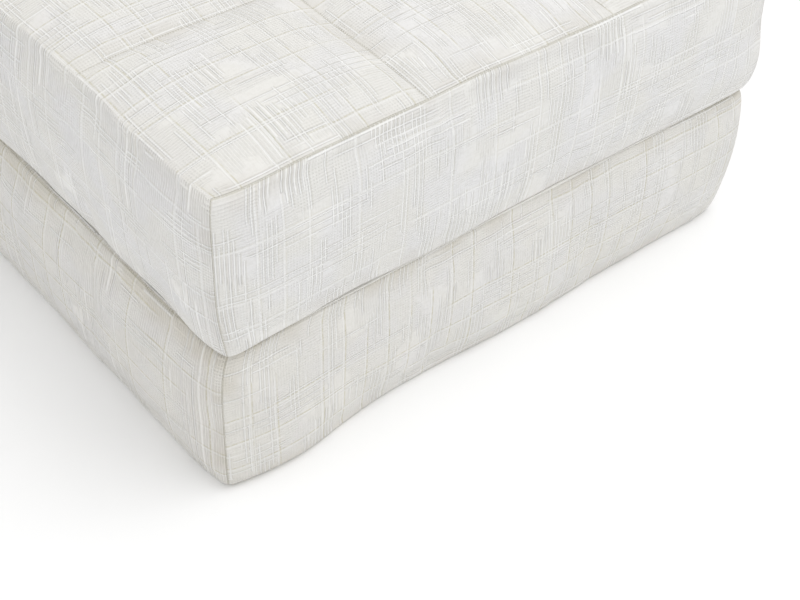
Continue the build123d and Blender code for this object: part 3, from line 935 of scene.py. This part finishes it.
def zipTapeGroup():
    # twill tape on both sides of a coil of small cross teeth; across is the way over the tape, along down it
    group, source, target = newGroup("zipTape", [("Across", 0.0), ("Along", 0.0)])
    look = zipLook
    width = mathNode(group, "ABSOLUTE", source["Across"])
    coil = ramp(group, width, *look["coilEdge"])
    tooth = mathNode(group, "SINE", times(group, source["Along"], 2 * math.pi / look["tooth"]))
    cleft = ramp(group, width, *look["cleftEdge"])
    slant = mathNode(group, "ADD", times(group, width, 0.8), source["Along"])
    twill = mathNode(group, "SINE", times(group, slant, 2 * math.pi / look["twill"]))
    offSeam = mathNode(group, "ABSOLUTE", mathNode(group, "SUBTRACT", width, look["seamAt"]))
    sewn = ramp(group, offSeam, *look["seamEdge"])
    wave = mathNode(group, "SINE", times(group, source["Along"], 2 * math.pi / look["stitch"]))
    stitch = times(group, sewn, ramp(group, wave, -0.4, 0.0))
    cloth = blendColour(group, ramp(group, twill, -1.0, 1.0), look["clothLow"], look["clothHigh"])
    coilColour = blendColour(group, ramp(group, tooth, -0.6, 0.6), look["coilLow"], look["coilHigh"])
    coilColour = blendColour(group, cleft, coilColour, look["cleft"])
    colour = blendColour(group, coil, cloth, coilColour)
    colour = blendColour(group, stitch, colour, look["thread"])
    crest = times(group, coil, mathNode(group, "ADD", ramp(group, tooth, -1.0, 1.0), 1.0))
    height = addUp(group, (crest, 0.8), (twill, 0.08), (stitch, 0.5), (cleft, -0.8))
    putOut(group, target, colour, height, ramp(group, coil, 0.0, 1.0, 0.85, 0.40))
    return group


def dullNickelGroup():
    # cast slider metal: fine hammer-like grain, worn brighter in patches
    group, source, target = newGroup("dullNickel", [("Place", None)])
    grain = noiseAt(group, source["Place"], 900.0, 3.0, 0.6)
    wear = noiseAt(group, source["Place"], 160.0, 2.0)
    worn = ramp(group, wear, 0.35, 0.65)
    colour = blendColour(group, worn, (0.50, 0.49, 0.46, 1.0), (0.66, 0.65, 0.62, 1.0))
    putOut(group, target, colour, grain, ramp(group, grain, 0.2, 0.8, 0.26, 0.44))
    return group


zipTape = zipTapeGroup()
dullNickel = dullNickelGroup()


def offsetAlong(axis, level):  # object coordinate along one axis, measured from a level
    def read(tree):
        split = tree.nodes.new("ShaderNodeSeparateXYZ")
        tree.links.new(objectPlace(tree), split.inputs[0])
        return mathNode(tree, "SUBTRACT", split.outputs[axis], level)
    return read


nickel = groupMaterial("dullNickel", dullNickel, 0.0001, {"Metallic": 1.0}, {"Place": objectPlace})


def dressNode(name, material):
    node = next(o for o in bpy.data.objects if o.name == name)
    for slot in node.material_slots:
        slot.material = material
    if not node.material_slots:
        node.data.materials.append(material)


for block, across, along in (("base", 2, 1), ("seat", 2, 1), ("back", 1, 2)):
    low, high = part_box(f"{block}_zip_tape")
    level = (low[across] + high[across]) / 2
    material = groupMaterial(f"{block}ZipTape", zipTape, 0.0004, {"Specular IOR Level": 0.3},
                             {"Across": offsetAlong(across, level), "Along": offsetAlong(along, 0.0)})
    dressNode(f"{block}_zip_tape", material)
    dressNode(f"{block}_zip_slider", nickel)
    dressNode(f"{block}_zip_pull", nickel)
print("zips dressed")


# floor, light and camera
def plainFloor():
    half = 14.0
    mesh = bpy.data.meshes.new("floor")
    corners = [(-half, -half, 0), (half, -half, 0), (half, half, 0), (-half, half, 0)]
    mesh.from_pydata(corners, [], [(0, 1, 2, 3)])
    floor = addPiece("floor", mesh)
    material = bpy.data.materials.new("paleFloor")
    material.use_nodes = True
    shader = material.node_tree.nodes["Principled BSDF"]
    shader.inputs["Base Color"].default_value = (0.98, 0.98, 0.98, 1.0)
    shader.inputs["Roughness"].default_value = 0.9
    mesh.materials.append(material)


def softLight(name, place, aim, size, power):
    data = bpy.data.lights.new(name, "AREA")
    data.shape = "SQUARE"
    data.size = size
    data.energy = power
    lamp = bpy.data.objects.new(name, data)
    bpy.context.scene.collection.objects.link(lamp)
    lamp.location = place
    lamp.rotation_euler = (Vector(aim) - Vector(place)).to_track_quat("-Z", "Y").to_euler()


def paleWorld(strength):
    world = bpy.data.worlds.new("paleWorld")
    bpy.context.scene.world = world
    world.use_nodes = True
    background = world.node_tree.nodes["Background"]
    background.inputs[0].default_value = (1.0, 1.0, 1.0, 1.0)
    background.inputs[1].default_value = strength


photoCamera = {  # solved from the photo's edges; place is in stack heights, from its near bottom corner
    "azimuth": 48.232,
    "down": 43.005,
    "roll": 3.084,
    "place": (-1.4633, -2.3007, 3.2507),
    "inset": 0.003,  # from the front side's box to the stack's own corner
    "focal": 1547.2 / 800,  # in widths of the picture
}


def aimCamera():
    # looks along azimuth and down angle, then rolls about that line
    az, el, roll = (math.radians(photoCamera[k]) for k in ("azimuth", "down", "roll"))
    look = Vector((math.cos(az) * math.cos(el), math.sin(az) * math.cos(el), -math.sin(el)))
    right = look.cross(Vector((0, 0, 1))).normalized()
    up = right.cross(look)
    tiltedRight = math.cos(roll) * right + math.sin(roll) * up
    tiltedUp = -math.sin(roll) * right + math.cos(roll) * up
    inset = photoCamera["inset"]
    corner = Vector((baseFrontLow[0] + inset, frontY + inset, 0.0))
    place = corner + Vector(photoCamera["place"]) * seatFrontHigh[2]
    data = bpy.data.cameras.new("camera")
    data.sensor_width = 36.0
    data.lens = photoCamera["focal"] * data.sensor_width
    data.clip_start = 0.05
    data.clip_end = 100.0
    camera = bpy.data.objects.new("camera", data)
    bpy.context.scene.collection.objects.link(camera)
    turned = Matrix((tiltedRight, tiltedUp, -look)).transposed().to_4x4()
    camera.matrix_world = Matrix.Translation(place) @ turned
    bpy.context.scene.camera = camera


plainFloor()
paleWorld(0.825)
softLight("keyLight", (1.0, -1.2, 4.2), (0.0, 0.0, 0.2), 2.6, 58.0)
softLight("fillLight", (-3.0, 0.3, 1.6), (0.0, 0.0, 0.2), 2.0, 5.6)
aimCamera()
bpy.context.scene.view_settings.view_transform = "Standard"
print("floor, light and camera placed")
